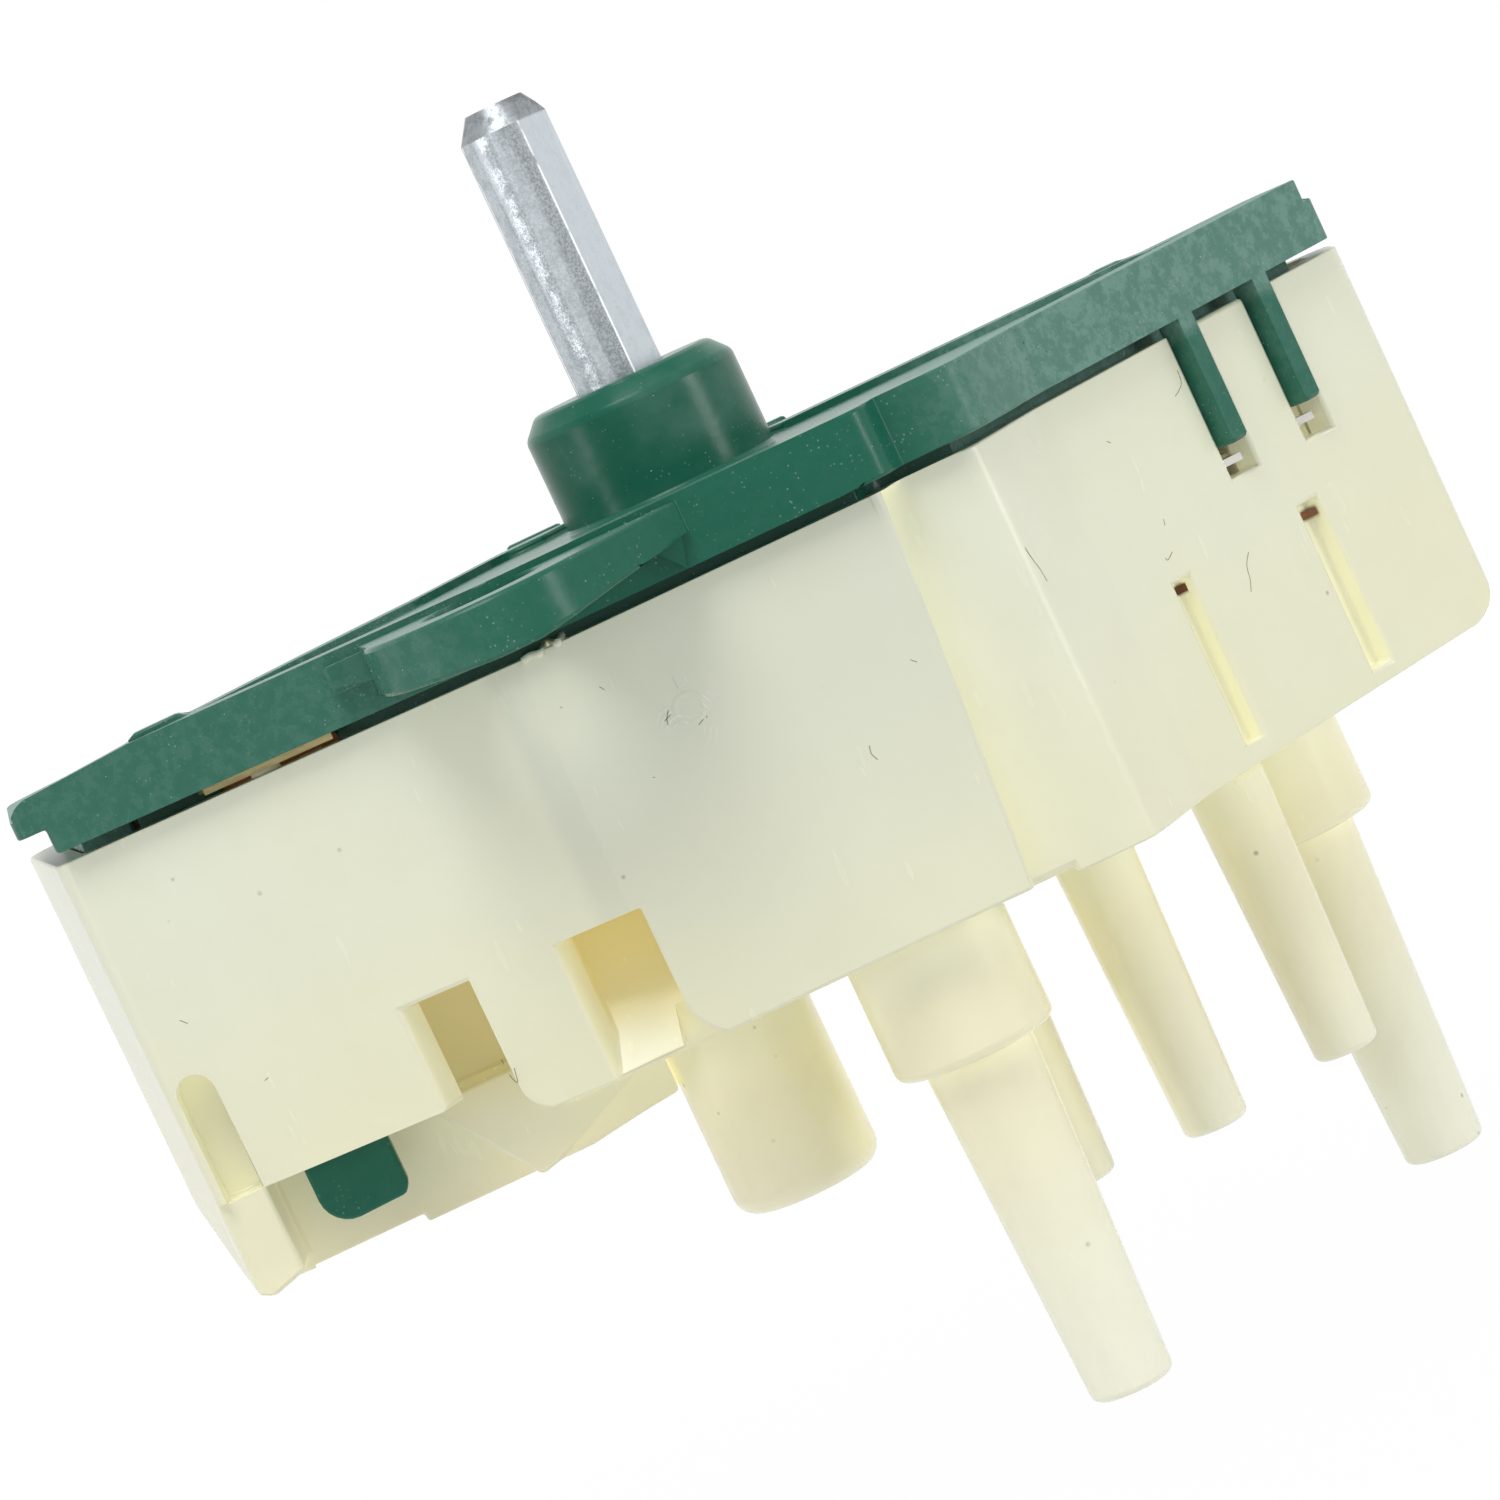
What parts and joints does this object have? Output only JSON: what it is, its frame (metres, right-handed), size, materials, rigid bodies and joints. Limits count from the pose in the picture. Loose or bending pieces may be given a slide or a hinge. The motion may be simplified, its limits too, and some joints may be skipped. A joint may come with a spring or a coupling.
{
  "type": "heater control switch",
  "caption": "Rotary heater control switch with a D shaft, a green cover over a cream housing, hose ports of its vacuum valve beneath and a plug socket at one end",
  "frame": {"origin": "on the shaft's axis, at the top face of the cover's deck round the collar", "axes": "+Z along the shaft, out of the panel; +X to the end with the slanted, slotted wall; +Y to the plain rear wall"},
  "size_m": [0.0961, 0.0564, 0.09],
  "materials": {
    "housing_plastic": "cream moulded nylon, slightly yellowed",
    "cover_plastic": "sea-green moulded plastic with a fine texture and dust",
    "phenolic": "tan phenolic board",
    "copper": "copper alloy strip, darkened",
    "rivet_brass": "brass",
    "seal_rubber": "black rubber",
    "spring_steel": "spring steel",
    "leaf_steel": "tinned spring strip",
    "bronze": "dark phosphor bronze strip",
    "shaft_steel": "satin drawn metal",
    "washer_steel": "plated steel",
    "ring_steel": "dark phosphated steel",
    "carrier_plastic": "white acetal",
    "wiper_copper": "copper alloy strip",
    "disc_plastic": "off-white acetal"
  },
  "bodies": {
    "switch": {"housing": "housing_plastic", "cover": "cover_plastic", "contact_board": "phenolic", "supply_strip": "copper", "blower_strip": "copper", "clutch_strip": "copper", "lamp_strip": "copper", "vent_strip": "copper", "board_rivets": "rivet_brass", "port_plate": "housing_plastic", "valve_seal": "seal_rubber", "detent_spring": "spring_steel", "upper_leaf_front": "leaf_steel", "upper_leaf_rear": "leaf_steel", "lower_leaf_front": "bronze", "lower_leaf_rear": "bronze"},
    "rotor": {"shaft": "shaft_steel", "shaft_washer": "washer_steel", "retaining_ring": "ring_steel", "contact_carrier": "carrier_plastic", "wiper_upper": "wiper_copper", "wiper_lower": "wiper_copper", "valve_disc": "disc_plastic", "valve_spring": "spring_steel"}
  },
  "joints": [
    {"name": "shaft_turn", "type": "hinge", "parent": "switch", "child": "rotor", "pos_m": [0, 0, 0], "axis": [0, 0, 1], "range_deg": [-75, 75], "deforming": ["detent_spring", "upper_leaf_front", "upper_leaf_rear"]}
  ]
}
